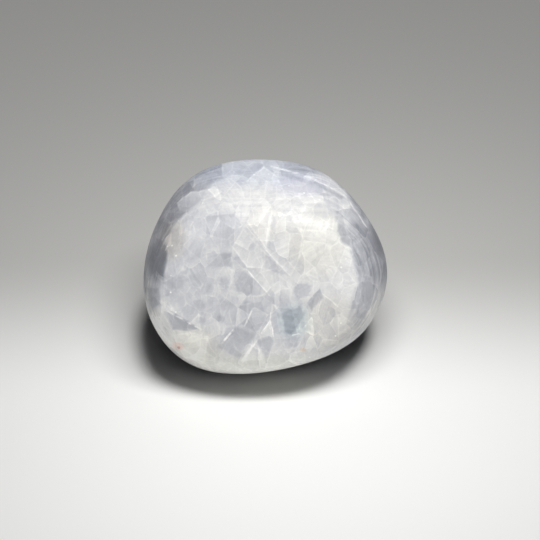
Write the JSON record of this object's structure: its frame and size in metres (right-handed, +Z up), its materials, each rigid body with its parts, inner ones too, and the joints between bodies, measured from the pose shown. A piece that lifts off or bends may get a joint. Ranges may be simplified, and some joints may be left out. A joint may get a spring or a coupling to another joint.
{
  "type": "polished calcite stone",
  "caption": "Rounded, hand-polished freeform of pale blue-grey calcite with a mosaic of milky cleavage blocks and a flat-ground base; a palm or display stone.",
  "frame": {"origin": "middle of the stone's outline seen from above, on the flat-ground base that it stands on", "axes": "+Z up from the base, +X along the widest way across, to the right of someone looking at the broad polished front, which faces -Y"},
  "size_m": [0.0744, 0.0678, 0.0529],
  "materials": {
    "calcite": "polished"
  },
  "bodies": {
    "root": {"calcite_stone": "calcite"}
  },
  "joints": []
}
